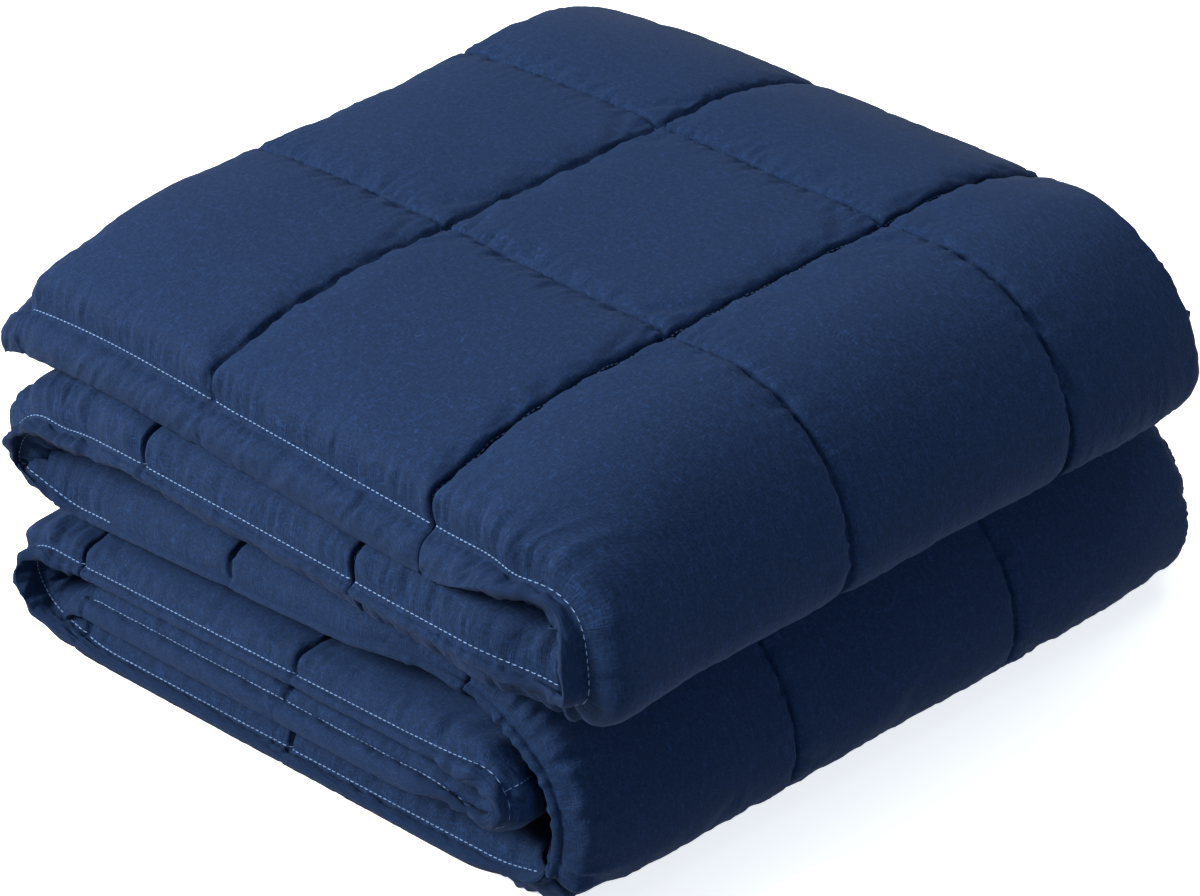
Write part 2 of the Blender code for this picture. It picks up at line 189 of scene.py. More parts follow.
def smooth(values, reach):
    """Average each value with its neighbours, up to reach places away."""
    window = np.hanning(2 * reach + 3)[1:-1]
    window /= window.sum()
    return np.convolve(np.pad(values, reach, mode="edge"), window, mode="valid")


def fold_points(fold, before, after, heading):
    """Two quarter ellipses that meet at the fold's tip."""
    start_x = fold.tip_x - heading * fold.reach_in
    end_x = fold.tip_x - heading * fold.reach_out
    rise_in = layer_height(before, start_x) - fold.tip_z
    rise_out = layer_height(after, end_x) - fold.tip_z
    reach_in, reach_out = heading * fold.reach_in, heading * fold.reach_out
    turns = np.linspace(0.0, pi / 2, 40)[1:]
    first = [(start_x + reach_in * sin(a), fold.tip_z + rise_in * cos(a)) for a in turns]
    second = [(end_x + reach_out * cos(a), fold.tip_z + rise_out * sin(a)) for a in turns]
    return first + second, end_x


def end_band(start):
    """The hem band of an end of the cloth, which points left and turns down."""
    steps = int(HEM / PATH_STEP)
    x, z = start
    points = []
    for step in range(1, steps + 1):
        angle = END_BAND_TURN * min(1.0, step / steps / CURL_SHARE)
        x -= PATH_STEP * cos(angle)
        z -= PATH_STEP * sin(angle)
        points.append((x, z))
    return points


class Section:
    """The folded section: points along the middle of the cloth, and what varies along them."""

    def __init__(self):
        x_first, x_last = CROSS_SEAMS[0][1], CROSS_SEAMS[-1][1]
        points, owners = [], []
        x, heading = x_first, 1
        for number, layer in enumerate(LAYERS):
            last = number == len(LAYERS) - 1
            x_end = x_last if last else FOLDS[number].tip_x - heading * FOLDS[number].reach_in
            run = np.linspace(x, x_end, max(2, int(abs(x_end - x) / PATH_STEP)))
            points += [(x, layer_height(layer, x) - self.end_drop(layer, x)) for x in run]
            owners += [layer.name] * len(run)
            if not last:
                fold = FOLDS[number]
                bend, x = fold_points(fold, layer, LAYERS[number + 1], heading)
                points += bend
                owners += [fold.name] * len(bend)
                heading = -heading
        head, tail = end_band(points[0])[::-1], end_band(points[-1])
        points = np.array(head + points + tail)
        owners = np.array([LAYERS[0].name] * len(head) + owners + [LAYERS[-1].name] * len(tail))
        self.measure(points, owners)
        self.spread_sizes()

    @staticmethod
    def end_drop(layer, x):
        """The top layer bends down to its end seam."""
        if layer.name != LAYERS[0].name:
            return 0.0
        return END_DROP * max(0.0, 1.0 - (x - CROSS_SEAMS[0][1]) / END_REACH) ** 2

    def measure(self, points, owners):
        """Space the points evenly along the cloth, and find its headings and bends.

        lean is the heading that side seams are set off from: a free end's hem band keeps that of
        the cloth before it, so that its corners hang.
        """
        gaps = np.hypot(*np.diff(points, axis=0).T)
        kept = np.r_[True, gaps > 1e-6]
        points, owners = points[kept], owners[kept]
        along = np.r_[0.0, np.cumsum(np.hypot(*np.diff(points, axis=0).T))]
        self.along = np.arange(0.0, along[-1], PATH_STEP)
        self.x = smooth(np.interp(self.along, along, points[:, 0]), 6)
        self.z = smooth(np.interp(self.along, along, points[:, 1]), 6)
        self.owner = owners[np.minimum(np.searchsorted(along, self.along), len(owners) - 1)]
        angle = np.unwrap(np.arctan2(np.gradient(self.z), np.gradient(self.x)))
        self.angle = smooth(angle, 3)
        self.bend = np.gradient(self.angle, self.along)
        first_end, last_end = HEM, self.along[-1] - HEM
        self.lean = np.interp(np.clip(self.along, first_end, last_end), self.along, self.angle)
        self.seams = [self.seam_place(name, where) for name, where in CROSS_SEAMS]
        self.seams[0], self.seams[-1] = first_end, last_end

    def span(self, name):
        places = self.along[self.owner == name]
        return places[0], places[-1]

    def seam_place(self, name, where):
        """Distance along the cloth of a cross seam."""
        if name in [fold.name for fold in FOLDS]:
            start, end = self.span(name)
            return start + where * (end - start)
        owned = np.where(self.owner == name)[0]
        return self.along[owned[np.argmin(np.abs(self.x[owned] - where))]]

    def spread_sizes(self):
        """Sizes of the side seams and the filling at every point along the cloth.

        Offsets and curls are signed: positive is towards the face that is up on the top layer.
        """
        spots = {}

        def note(place, **sizes):
            for name, value in sizes.items():
                spots.setdefault(name, []).append((place, value))

        for number, layer in enumerate(LAYERS):
            start, end = self.span(layer.name)
            down = -self.face_up(layer.name)
            for share in (0.0, 0.06, 0.34, 0.91, 1.0):
                place = start + share * (end - start)
                free_end = place in (0.0, self.along[-1])
                if share in (0.0, 1.0) and not free_end:
                    continue
                drop, curl = FREE_CORNER if free_end else (1.0, 1.0)
                right = np.clip(np.interp(place, self.along, self.x) / 300.0, 0.0, 1.0)
                near_y, near_drop, near_curl, puff = (
                    first + (last - first) * right for first, last in (
                        (layer.near_left, layer.near_right), (layer.drop_left, layer.drop_right),
                        (layer.curl_left, layer.curl_right), (layer.puff_left, layer.puff_right)))
                at_end = place < END_REACH
                note(place, near_y=near_y, near_off=down * near_drop * drop,
                     near_curl=down * near_curl * curl, near_band=layer.near_band,
                     near_reach=layer.near_reach, bend_in=layer.bend_in, middle_y=layer.middle_y,
                     far_y=layer.far_y, far_off=down * layer.far_drop * drop,
                     far_curl=down * layer.far_curl * curl, far_band=HEM, far_reach=CURL_SHARE,
                     skew=layer.skew * (END_SKEW if at_end else 1.0),
                     corner=FAR_CORNER if at_end else 0.0, puff=puff, gather=0.0)
            if number < len(FOLDS):
                fold = FOLDS[number]
                start, end = self.span(fold.name)
                inward = np.sign(np.interp((start + end) / 2, self.along, self.bend))
                for share, near_inset in fold.near_insets:
                    note(start + share * (end - start), near_y=fold.near_y, gather=fold.gather,
                         near_off=inward * near_inset, near_curl=inward * fold.near_curl,
                         near_band=fold.near_band, near_reach=fold.near_reach,
                         middle_y=fold.middle_y, far_y=fold.far_y, far_off=inward * fold.far_inset,
                         far_curl=inward * fold.far_curl, far_band=HEM, far_reach=CURL_SHARE)
        self.sizes = {}
        for name, pairs in spots.items():
            places, values = zip(*pairs)
            self.sizes[name] = smooth(np.interp(self.along, places, values), SIZE_SMOOTHING)
        turned_over = self.along[:-1][np.diff(np.sign(self.sizes["near_curl"])) != 0]
        for name, share in PINCHES:
            start, end = self.span(name)
            turned_over = np.r_[turned_over, start + share * (end - start)]
        for place in turned_over:
            nearness = np.exp(-((self.along - place) / GATHER_REACH) ** 2)
            self.sizes["near_band"] *= 1 - GATHER * nearness
        to_end = np.minimum(self.along, self.along[-1] - self.along) / HEM
        rounded = np.sqrt(1 - CORNER_ROUND * np.maximum(0.0, 1 - to_end) ** 2)
        for band in ("near_band", "far_band"):
            self.sizes[band] *= rounded

    def face_up(self, name):
        """+1 on a layer whose first face is up, and -1 where the folds have turned it over."""
        start, end = self.span(name)
        return float(np.sign(cos(np.interp((start + end) / 2, self.along, self.angle))))

    def tucked_at(self, places):
        """1 where the near seam is turned under, and 0 where it shows."""
        tucked = np.isin(self.owner, TUCKED) & (self.x > TUCKED_FROM)
        return np.interp(places, self.along, smooth(tucked.astype(float), SIZE_SMOOTHING))

    def sizes_at(self, places):
        return {name: np.interp(places, self.along, row) for name, row in self.sizes.items()}


def middle_surface(section, places, widths):
    """Points on the middle of the folded cloth, for places along it and widths across it."""
    x, z, angle = (np.interp(places, section.along, row)
                   for row in (section.x, section.z, section.lean))
    size = section.sizes_at(places)
    middle, half_square = size["middle_y"], DRAWN_SQUARE / 2
    seam_y = (size["near_y"], middle - half_square, middle + half_square, size["far_y"])
    points = np.zeros((len(places), len(widths), 3))
    for column, width in enumerate(widths):
        inner = min(max(width, 0.0), WIDTH)
        square = min(int(inner / SQUARE), SQUARES_WIDE - 1)
        share = inner / SQUARE - square
        y = seam_y[square] * (1 - share) + seam_y[square + 1] * share
        off = size["near_off"] * np.maximum(0.0, 1 - inner / size["bend_in"]) ** 2
        off = off + size["far_off"] * max(0.0, 1 - (WIDTH - inner) / FAR_BEND_IN) ** 2
        if width != inner:
            side, out, reach = (("near", -1, size["bend_in"]) if width < 0
                                else ("far", 1, FAR_BEND_IN))
            slope = np.arctan(2 * size[side + "_off"] / reach)
            curl = np.radians(size[side + "_curl"])
            beyond, steps = abs(width - inner) / HEM, 8
            for step in range(steps):
                part = np.minimum(1.0, (step + 0.5) / steps * beyond / size[side + "_reach"])
                turn = slope + (curl - slope) * part * part * (3 - 2 * part)
                stretch = size[side + "_band"] * beyond / steps
                y = y + out * np.cos(turn) * stretch
                off = off + np.sin(turn) * stretch
        level = y - BLOCK_MIDDLE[1]
        corner = size["corner"] * np.maximum(0.0, level / FAR_HALF) ** 2
        points[:, column, 0] = x - np.sin(angle) * off + size["skew"] * level - corner
        points[:, column, 1] = y
        points[:, column, 2] = (z + np.cos(angle) * off) * (1 + FAR_LIFT * level)
    return points


def crown(share, first_pinch, last_pinch):
    """Share of its filled thickness that a square has across one direction."""
    pinch = np.where(share < 0.5, first_pinch, last_pinch)
    from_seam = np.minimum(share, 1 - share)
    rise = 0.86 * (1 - np.exp(-3 * from_seam / RISE_SHARE)) + 0.14 * np.sin(pi * share)
    return pinch + (1 - pinch) * rise


def square_crowns(places, seams):
    """Crown of the square at each place between the seams, and how far a place is out on a hem."""
    last = len(seams) - 2
    number = np.clip(np.searchsorted(seams, places, side="right") - 1, 0, last)
    edges = np.array(seams)
    share = np.clip((places - edges[number]) / (edges[number + 1] - edges[number]), 0.0, 1.0)
    first = np.where(number == 0, EDGE_PINCH, INNER_PINCH)
    final = np.where(number == last, EDGE_PINCH, INNER_PINCH)
    out = np.maximum(np.maximum(edges[0] - places, places - edges[-1]), 0.0) / HEM
    return crown(share, first, final), out


def side_seams():
    return [SQUARE * number for number in range(SQUARES_WIDE + 1)]


def thickness(section, places, widths):
    """Thickness of the quilt at each point of the grid."""
    along, out_end = square_crowns(places, section.seams)
    across, out_side = square_crowns(widths, side_seams())
    puff = np.interp(places, section.along, section.sizes["puff"])
    filled = puff[:, None] * along[:, None] * across[None, :]
    out = np.maximum(out_end[:, None], out_side[None, :])
    band = np.interp(out, (0.0, 0.3, 0.7, 1.0),
                     (HEM_SEAM_THICKNESS, HEM_THICKNESS, HEM_THICKNESS, HEM_EDGE_THICKNESS))
    notch = 1 - HEM_NOTCH * (1 - np.where(out_end[:, None] > 0, across[None, :], along[:, None]))
    both = (out_end[:, None] > 0) & (out_side[None, :] > 0)
    return np.where(out > 0, band * np.where(both, 1.0, notch), filled)


def faces_of_cloth(section, places, widths):
    """The two faces of the folded quilt: the middle surface set off by half the thickness."""
    middle = middle_surface(section, places, widths)
    step = 0.5
    ahead = middle_surface(section, places + step, widths)
    behind = middle_surface(section, places - step, widths)
    wider = middle_surface(section, places, widths + step)
    narrower = middle_surface(section, places, widths - step)
    normal = np.cross(ahead - behind, wider - narrower)
    normal /= np.linalg.norm(normal, axis=2, keepdims=True)
    half = thickness(section, places, widths) / 2
    size = section.sizes_at(places)
    bend = np.interp(places, section.along, section.bend)
    bends = [np.repeat(bend[:, None], len(widths), axis=1)]
    for side, outside in (("near", widths < 0), ("far", widths > WIDTH)):
        curl = np.radians(size[side + "_curl"]) / (size[side + "_reach"] * size[side + "_band"])
        bends.append(curl[:, None] * outside[None, :])
    first, second = half, half
    for bend in bends:
        room = BEND_FILL / np.maximum(np.abs(bend), 1e-6)
        first = np.where(bend > 0, np.minimum(first, room), first)
        second = np.where(bend < 0, np.minimum(second, room), second)
    return middle + normal * first[..., None], middle - normal * second[..., None]


# ---- Detail of the cloth's surface ----

LATTICE = 128


def creased(u, v, seed):
    """Noise with sharp crests, about 0 on the whole."""
    return 0.8 - 2.4 * np.abs(noise(u, v, seed))


def noise(u, v, seed):
    """Smooth noise from -1 to 1, on a lattice one unit wide."""
    table = np.random.default_rng(seed).uniform(-1.0, 1.0, (LATTICE, LATTICE))
    u, v = np.broadcast_arrays(np.asarray(u, float), np.asarray(v, float))
    low_u, low_v = np.floor(u).astype(int), np.floor(v).astype(int)
    part_u, part_v = u - low_u, v - low_v
    part_u, part_v = part_u * part_u * (3 - 2 * part_u), part_v * part_v * (3 - 2 * part_v)
    corner = [[table[(low_u + i) % LATTICE, (low_v + j) % LATTICE] for j in (0, 1)] for i in (0, 1)]
    near = corner[0][0] * (1 - part_u) + corner[1][0] * part_u
    far = corner[0][1] * (1 - part_u) + corner[1][1] * part_u
    return near * (1 - part_v) + far * part_v


def from_seams(places, seams):
    """Distance of each place from its nearest seam, and that seam's number."""
    distance = np.abs(np.asarray(places)[:, None] - np.asarray(seams)[None, :])
    nearest = distance.argmin(axis=1)
    return distance[np.arange(len(places)), nearest], nearest


def puckers(along, signed, seed, quilt):
    """Short ridges that run off a line of stitches, for places along the line and away from it.

    signed is negative on one side of the line, and each side has ridges of its own.
    """
    away, side = np.abs(signed), 37.0 * np.sign(signed)
    waves = creased(along / quilt.pucker_spacing, side + away / 26.0, seed)
    fine = noise(along / (0.45 * quilt.pucker_spacing), side + away / 9.0, seed + 1)
    reach = 1.0 + 0.7 * noise(along / 21.0, side, seed + 2)
    ridges = waves * np.exp(-away / (quilt.pucker_reach * reach))
    ridges += 0.35 * fine * np.exp(-away / 3.0)
    return ridges * (1 - np.exp(-(away / 1.6) ** 2))


def pleats(section, s, w, seed):
    """Pleats that the near side seam draws up in the folds, at places along and across."""
    height = np.interp(s, section.along, section.sizes["gather"])
    drift = 2.5 * noise(s / 30.0, w / 25.0, seed)
    ridges = 1.2 * creased((s + drift) / 6.0, w / 60.0, seed + 1)
    ridges += 0.5 * noise(s / 2.8, w / 20.0, seed + 2)
    inner = np.exp(-np.maximum(0.0, w) / 17.0) * (1 - np.exp(-(w / 2.2) ** 2))
    return height * ridges * np.where(w < 0, 0.6 * np.minimum(1.0, -w / 5.0), inner)


WIDE_BAND = 14.0      # width of a near hem band that wrinkles fully; a narrower one is smoother


def relief(section, places, widths, face, quilt):
    """How far each point of one face stands out from the plain crowned quilt, in millimetres."""
    seed = 11 + 40 * face
    s, w = places[:, None], widths[None, :]
    cross, cross_number = from_seams(places, section.seams)
    long, long_number = from_seams(widths, side_seams())
    rise = np.zeros((len(places), len(widths)))
    on_hem = (w < 0) | (w > WIDTH) | (s < section.seams[0]) | (s > section.seams[-1])
    edge_long = (long_number == 0) | (long_number == SQUARES_WIDE)
    edge_cross = (cross_number == 0) | (cross_number == len(section.seams) - 1)

    cross_depth = np.where(edge_cross, 0.5 * quilt.long_groove, quilt.cross_groove)
    long_depth = np.where(edge_long, 0.5 * quilt.long_groove, quilt.long_groove)
    wander = 0.25 * noise(w / 9.0, 3.0 * cross_number[:, None], seed + 5)
    calm = np.where(on_hem, 0.2, 1.0)
    groove = cross_depth * np.exp(-(cross / quilt.groove_width) ** 1.2)
    rise -= calm * groove[:, None] * (1 + wander)
    near = (long_number == 0)[None, :]
    calm = np.where(near, calm * (1 - section.tucked_at(s)), calm)
    groove = long_depth * np.exp(-(long / quilt.groove_width) ** 1.2)
    rise -= calm * groove[None, :]

    amount = quilt.pucker_height
    for number, seam in enumerate(section.seams):
        close = np.abs(places - seam) < 5 * quilt.pucker_reach
        signed = (places[close] - seam)[:, None]
        rise[close] += 0.55 * amount * puckers(w, signed, seed + 3 * number, quilt)
    shown = 1 - 0.8 * section.tucked_at(s)
    for number, seam in enumerate(side_seams()):
        close = np.abs(widths - seam) < 5 * quilt.pucker_reach
        signed = (widths[close] - seam)[None, :]
        each = amount * (shown if number == 0 else 1.0)
        rise[:, close] += each * puckers(s, signed, seed + 90 + 3 * number, quilt)
    rise += pleats(section, s, w, seed + 400)

    out_side = np.maximum(0.0, -w) + np.maximum(0.0, w - WIDTH)
    slant = s + 0.6 * out_side
    band = creased(slant / 5.0, out_side / 30.0, seed + 200)
    band += 0.6 * noise(slant / 2.6, out_side / 14.0, seed + 201)
    narrow = np.interp(s, section.along, section.sizes["near_band"]) / WIDE_BAND
    band *= np.where(w < 0, np.clip(narrow, 0.15, 1.0), 1.0)
    band *= np.minimum(1.0, out_side / 5.0) * np.interp(out_side, (12.0, HEM), (1.0, 0.45))
    rise += quilt.hem_wrinkle * band
    out_end = np.maximum(0.0, section.seams[0] - s) + np.maximum(0.0, s - section.seams[-1])
    band = noise((w + 0.4 * out_end) / 6.0, out_end / 30.0, seed + 210)
    rise += 0.6 * quilt.hem_wrinkle * band * np.minimum(1.0, out_end / 6.0)

    soft = 0.65 * noise(s / 55.0, w / 48.0, seed + 300)
    soft += 0.35 * noise(s / 24.0, w / 27.0, seed + 301)
    clear = (1 - np.exp(-(cross / 14.0) ** 2))[:, None] * (1 - np.exp(-(long / 14.0) ** 2))[None, :]
    rise += np.where(on_hem, 0.0, clear) * quilt.unevenness * soft
    return rise


def upsample(grid):
    """Twice as many rows and columns, with new ones on a smooth curve through the old."""
    for axis in (0, 1):
        rows = np.moveaxis(grid, axis, 0)
        padded = np.concatenate([2 * rows[:1] - rows[1:2], rows, 2 * rows[-1:] - rows[-2:-1]])
        between = (9 * (padded[1:-2] + padded[2:-1]) - padded[:-3] - padded[3:]) / 16
        doubled = np.empty((2 * len(rows) - 1,) + rows.shape[1:])
        doubled[::2], doubled[1::2] = rows, between
        grid = np.moveaxis(doubled, 0, axis)
    return grid


def halved(marks):
    """The marks, with one more halfway between each two."""
    doubled = np.empty(2 * len(marks) - 1)
    doubled[::2] = marks
    doubled[1::2] = (marks[:-1] + marks[1:]) / 2
    return doubled


# ---- Meshes ----

def spaced(start, end, step_start, step_middle, step_end, blend):
    """Marks from start to end, whose spacing goes from one step to the next over the blend."""
    marks, place = [start], start
    while place < end:
        from_start, from_end = place - start, end - place
        step = np.interp(from_start, (0.0, blend), (step_start, step_middle))
        step = min(step, float(np.interp(from_end, (0.0, blend), (step_end, step_middle))))
        place += step
        marks.append(place)
    return start + (np.array(marks) - start) * (end - start) / (marks[-1] - start)


def join_marks(*runs):
    """Runs of marks end to end, without the doubled marks where they meet."""
    return np.concatenate([runs[0]] + [run[1:] for run in runs[1:]])


# One row for each piece that the cloth is modelled in, from one cross seam to another. step is
# the length of its simulated mesh's faces along the cloth, and middle that across its hidden
# middle.
Piece = namedtuple("Piece", "name first_seam last_seam step middle")
PIECES = (
    Piece("quilt_top",          None, 2,    2.7,  6.0),
    Piece("quilt_front_fold",   2,    4,    2.7,  6.0),
    Piece("quilt_middle",       4,    8,    3.3,  14.0),
    Piece("quilt_front_wrap",   8,    9,    2.7,  6.0),
    Piece("quilt_base",         9,    12,   3.8,  14.0),
    Piece("quilt_inner",        12,   None, 4.0,  20.0),
)
# Spacing of the simulated mesh's points at a seam, at the near and far edges and inside the hem
# bands, and the lengths over which the spacing changes in a square and in a hem band.
SEAM_STEP, EDGE_STEP = 1.8, 2.0
HEM_STEP, FAR_HEM_STEP = 3.0, 3.2
SEAM_BLEND, HEM_BLEND = 12.0, 6.0


def piece_places(section, piece):
    """Rows of the coarse grid of a piece, closer at the cross seams."""
    first = 0.0 if piece.first_seam is None else section.seams[piece.first_seam]
    last = section.along[-1] if piece.last_seam is None else section.seams[piece.last_seam]
    stops = [first] + [seam for seam in section.seams if first < seam < last] + [last]
    runs = []
    for start, end in zip(stops[:-1], stops[1:]):
        on_hem = end <= section.seams[0] or start >= section.seams[-1]
        step = HEM_STEP if on_hem else piece.step
        runs.append(spaced(start, end, SEAM_STEP, step, SEAM_STEP, SEAM_BLEND))
    return join_marks(*runs)


def piece_widths(piece):
    """Columns of the coarse grid of a piece, closer at the side seams and the near edge."""
    fine = min(6.0, piece.middle)
    near = spaced(-HEM, 0.0, EDGE_STEP, HEM_STEP, SEAM_STEP, HEM_BLEND)
    far = WIDTH - spaced(-HEM, 0.0, EDGE_STEP, FAR_HEM_STEP, SEAM_STEP, HEM_BLEND)[::-1]
    runs = [near]
    for square in range(SQUARES_WIDE):
        start, end = SQUARE * square, SQUARE * (square + 1)
        outer = fine if square in (0, SQUARES_WIDE - 1) else piece.middle
        halfway = (start + end) / 2
        before = outer if square != SQUARES_WIDE - 1 else piece.middle
        after = outer if square != 0 else piece.middle
        runs.append(spaced(start, halfway, SEAM_STEP, before, before, SEAM_BLEND))
        runs.append(spaced(halfway, end, after, after, SEAM_STEP, SEAM_BLEND))
    runs.append(far)
    return join_marks(*runs)


def unit(vectors):
    """The vectors made one long."""
    return vectors / np.maximum(np.linalg.norm(vectors, axis=-1, keepdims=True), 1e-9)


def grid_normals(points):
    """Unit normals of a grid of points, rows along the cloth and columns across it."""
    return unit(np.cross(np.gradient(points, axis=0), np.gradient(points, axis=1)))


def new_mesh(name, points, faces):
    """A smooth-shaded mesh, from points in millimetres of the folded section."""
    mesh = bpy.data.meshes.new(name)
    mesh.from_pydata(((points - (*BLOCK_MIDDLE, 0.0)) * MM).tolist(), [], faces)
    mesh.update()
    mesh.shade_smooth()
    return mesh


def closed_mesh(name, first, second, places, widths):
    """A closed mesh of two faces of cloth, joined along all four edges, with the cloth's UVs."""
    rows, columns = first.shape[:2]
    count = rows * columns
    points = np.concatenate([first.reshape(-1, 3), second.reshape(-1, 3)])
    number = np.arange(count).reshape(rows, columns)
    a, b, c, d = number[:-1, :-1], number[1:, :-1], number[1:, 1:], number[:-1, 1:]
    top = np.stack([a, b, c, d], axis=-1).reshape(-1, 4)
    bottom = np.stack([a, d, c, b], axis=-1).reshape(-1, 4) + count
    rim = np.concatenate([number[:-1, 0], number[-1, :-1], number[:0:-1, -1], number[0, :0:-1]])
    after = np.roll(rim, -1)
    sides = np.stack([rim, rim + count, after + count, after], axis=-1)
    faces = np.concatenate([top, bottom, sides])
    mesh = new_mesh(name, points, faces.tolist())
    uv = np.stack(np.meshgrid(places * MM, widths * MM, indexing="ij"), axis=-1).reshape(-1, 2)
    uv = np.concatenate([uv, uv + (0.0, 1.0)])
    layer = mesh.uv_layers.new(name="cloth")
    loops = np.empty(len(mesh.loops), np.int32)
    mesh.loops.foreach_get("vertex_index", loops)
    layer.data.foreach_set("uv", uv[loops].astype(np.float32).ravel())
    return mesh


def show(mesh, collection=None):
    """An object of the mesh, in the scene."""
    obj = bpy.data.objects.new(mesh.name, mesh)
    (collection or bpy.context.scene.collection).objects.link(obj)
    return obj


def pin_weights(section, places, widths):
    """How firmly each point of a face is held: seams and hems wholly, the squares not at all."""
    cross, _ = from_seams(places, section.seams)
    long, _ = from_seams(widths, side_seams())
    held = np.maximum(np.exp(-(cross / 1.2) ** 2)[:, None], np.exp(-(long / 1.2) ** 2)[None, :])
    held[(places < section.seams[0]) | (places > section.seams[-1])] = 1.0
    held[:, (widths < 0) | (widths > WIDTH)] = 1.0
    held[[0, -1]] = 1.0
    return held


def settled(faces, places, widths, held, cloth):
    """Let pressure and roomy cloth puff the squares out between their seams.

    Returns how far the points of each face move, in millimetres.
    """
    scene = bpy.context.scene
    mesh = closed_mesh("puffing", faces[0], faces[1], places, widths)
    obj = show(mesh)
    group = obj.vertex_groups.new(name="sewn")
    weights = np.tile(held.ravel(), 2)
    for step in range(1, 11):
        chosen = np.where(np.rint(weights * 10) == step)[0]
        if len(chosen):
            group.add(chosen.tolist(), step / 10, "REPLACE")
    before = np.empty(len(mesh.vertices) * 3, np.float32)
    mesh.vertices.foreach_get("co", before)
    modifier = obj.modifiers.new("cloth", "CLOTH")
    settings = modifier.settings
    settings.quality = cloth.steps
    settings.mass = cloth.mass
    settings.tension_stiffness = settings.compression_stiffness = cloth.stiffness
    settings.shear_stiffness = cloth.stiffness / 3
    settings.bending_stiffness = cloth.bending
    settings.use_pressure = True
    settings.uniform_pressure_force = cloth.pressure
    settings.shrink_min = -cloth.room
    settings.vertex_group_mass = group.name
    settings.effector_weights.gravity = 0.0
    modifier.collision_settings.use_collision = False
    modifier.point_cache.frame_start, modifier.point_cache.frame_end = 1, cloth.frames
    for frame in range(1, cloth.frames + 1):
        scene.frame_set(frame)
    result = obj.evaluated_get(bpy.context.evaluated_depsgraph_get())
    after = np.empty_like(before)
    result.data.vertices.foreach_get("co", after)
    bpy.data.objects.remove(obj)
    bpy.data.meshes.remove(mesh)
    scene.frame_set(1)
    moves = (after - before).reshape(2, len(places), len(widths), 3) / MM
    size = np.linalg.norm(moves, axis=3, keepdims=True)
    return moves * cloth.most / MM / (cloth.most / MM + size)


def make_piece(section, piece, quilt, cloth):
    """One closed piece of the quilt, with the grid of its two finished faces."""
    places, widths = piece_places(section, piece), piece_widths(piece)
    fine_places, fine_widths = halved(places), halved(widths)
    moves = (0.0, 0.0)
    coarse = faces_of_cloth(section, places, widths)
    coarse_moves = settled(coarse, places, widths, pin_weights(section, places, widths), cloth)
    moves = [upsample(face) for face in coarse_moves]
    faces = []
    for number, face in enumerate(faces_of_cloth(section, fine_places, fine_widths)):
        face = face + moves[number]
        out = grid_normals(face) * (1 if number == 0 else -1)
        face = face + out * relief(section, fine_places, fine_widths, number, quilt)[..., None]
        face[..., 2] = np.maximum(face[..., 2], 0.0)
        faces.append(face)
    mesh = closed_mesh(piece.name, faces[0], faces[1], fine_places, fine_widths)
    return show(mesh), faces, fine_places, fine_widths


# ---- Settings a user may change ----

class QuiltSettings(bpy.types.PropertyGroup):
    """Sizes of the quilting, in millimetres of cloth."""
    cross_groove: FloatProperty(
        name="Cross seam depth", default=2.4, min=0.0,
        description="Depth of the grooves at the seams across the blanket, mm")
    long_groove: FloatProperty(
        name="Long seam depth", default=1.4, min=0.0,
        description="Depth of the grooves at the seams along the blanket, mm")
    groove_width: FloatProperty(
        name="Groove width", default=0.9, min=0.5, description="Half width of a seam's groove, mm")
    pucker_height: FloatProperty(
        name="Pucker height", default=1.0, min=0.0,
        description="Height of the puckers beside the stitches, mm")
    pucker_spacing: FloatProperty(
        name="Pucker spacing", default=2.7, min=1.0, description="Typical width of one pucker, mm")
    pucker_reach: FloatProperty(
        name="Pucker reach", default=7.0, min=1.0,
        description="How far a pucker runs from the stitches, mm")
    hem_wrinkle: FloatProperty(
        name="Hem wrinkles", default=0.6, min=0.0,
        description="Height of the wrinkles in the hem band, mm")
    unevenness: FloatProperty(
        name="Unevenness", default=0.8, min=0.0,
        description="Height of the soft lumps of the filling, mm")


class ClothSettings(bpy.types.PropertyGroup):
    """How the simulated cloth behaves."""
    pressure: FloatProperty(
        name="Pressure", default=4.0, description="Pressure inside the squares")
    room: FloatProperty(
        name="Room", default=0.02,
        description="Share by which the cloth is larger than its squares")
    stiffness: FloatProperty(
        name="Stiffness", default=15.0, min=0.1,
        description="How hard the cloth is to stretch, press together and shear")
    bending: FloatProperty(
        name="Bending", default=0.05, min=0.0, description="How hard the cloth is to bend")
    mass: FloatProperty(
        name="Point mass", default=0.3, min=0.0001, description="Mass of a point of the cloth, kg")
    most: FloatProperty(
        name="Longest move", default=0.0018, unit="LENGTH",
        description="Length that no point's move reaches")
    steps: IntProperty(
        name="Steps", default=5, min=1, description="Steps worked out in each frame")
    frames: IntProperty(
        name="Frames", default=20, min=2, description="Frames that the cloth is run for")


class StitchSettings(bpy.types.PropertyGroup):
    """Sizes of the stitches."""
    pitch: FloatProperty(
        name="Stitch pitch", default=0.0025, unit="LENGTH",
        description="Length from one stitch to the next")
    length: FloatProperty(
        name="Stitch length", default=0.0017, unit="LENGTH",
        description="Length of thread that shows in each stitch")
    thread: FloatProperty(
        name="Thread", default=0.0005, unit="LENGTH", description="Thickness of the sewing thread")


class ColourSettings(bpy.types.PropertyGroup):
    """Colours of the cloth, the thread and the floor."""
    cloth: FloatVectorProperty(
        name="Cloth", subtype="COLOR", size=4, min=0.0, max=1.0,
        default=(0.0055, 0.0170, 0.0510, 1.0), description="Colour of the cloth")
    thread: FloatVectorProperty(
        name="Thread", subtype="COLOR", size=4, min=0.0, max=1.0,
        default=(0.13, 0.23, 0.42, 1.0), description="Colour of the sewing thread")
    floor: FloatVectorProperty(
        name="Floor", subtype="COLOR", size=4, min=0.0, max=1.0,
        default=(0.86, 0.87, 0.88, 1.0), description="Colour of the floor")


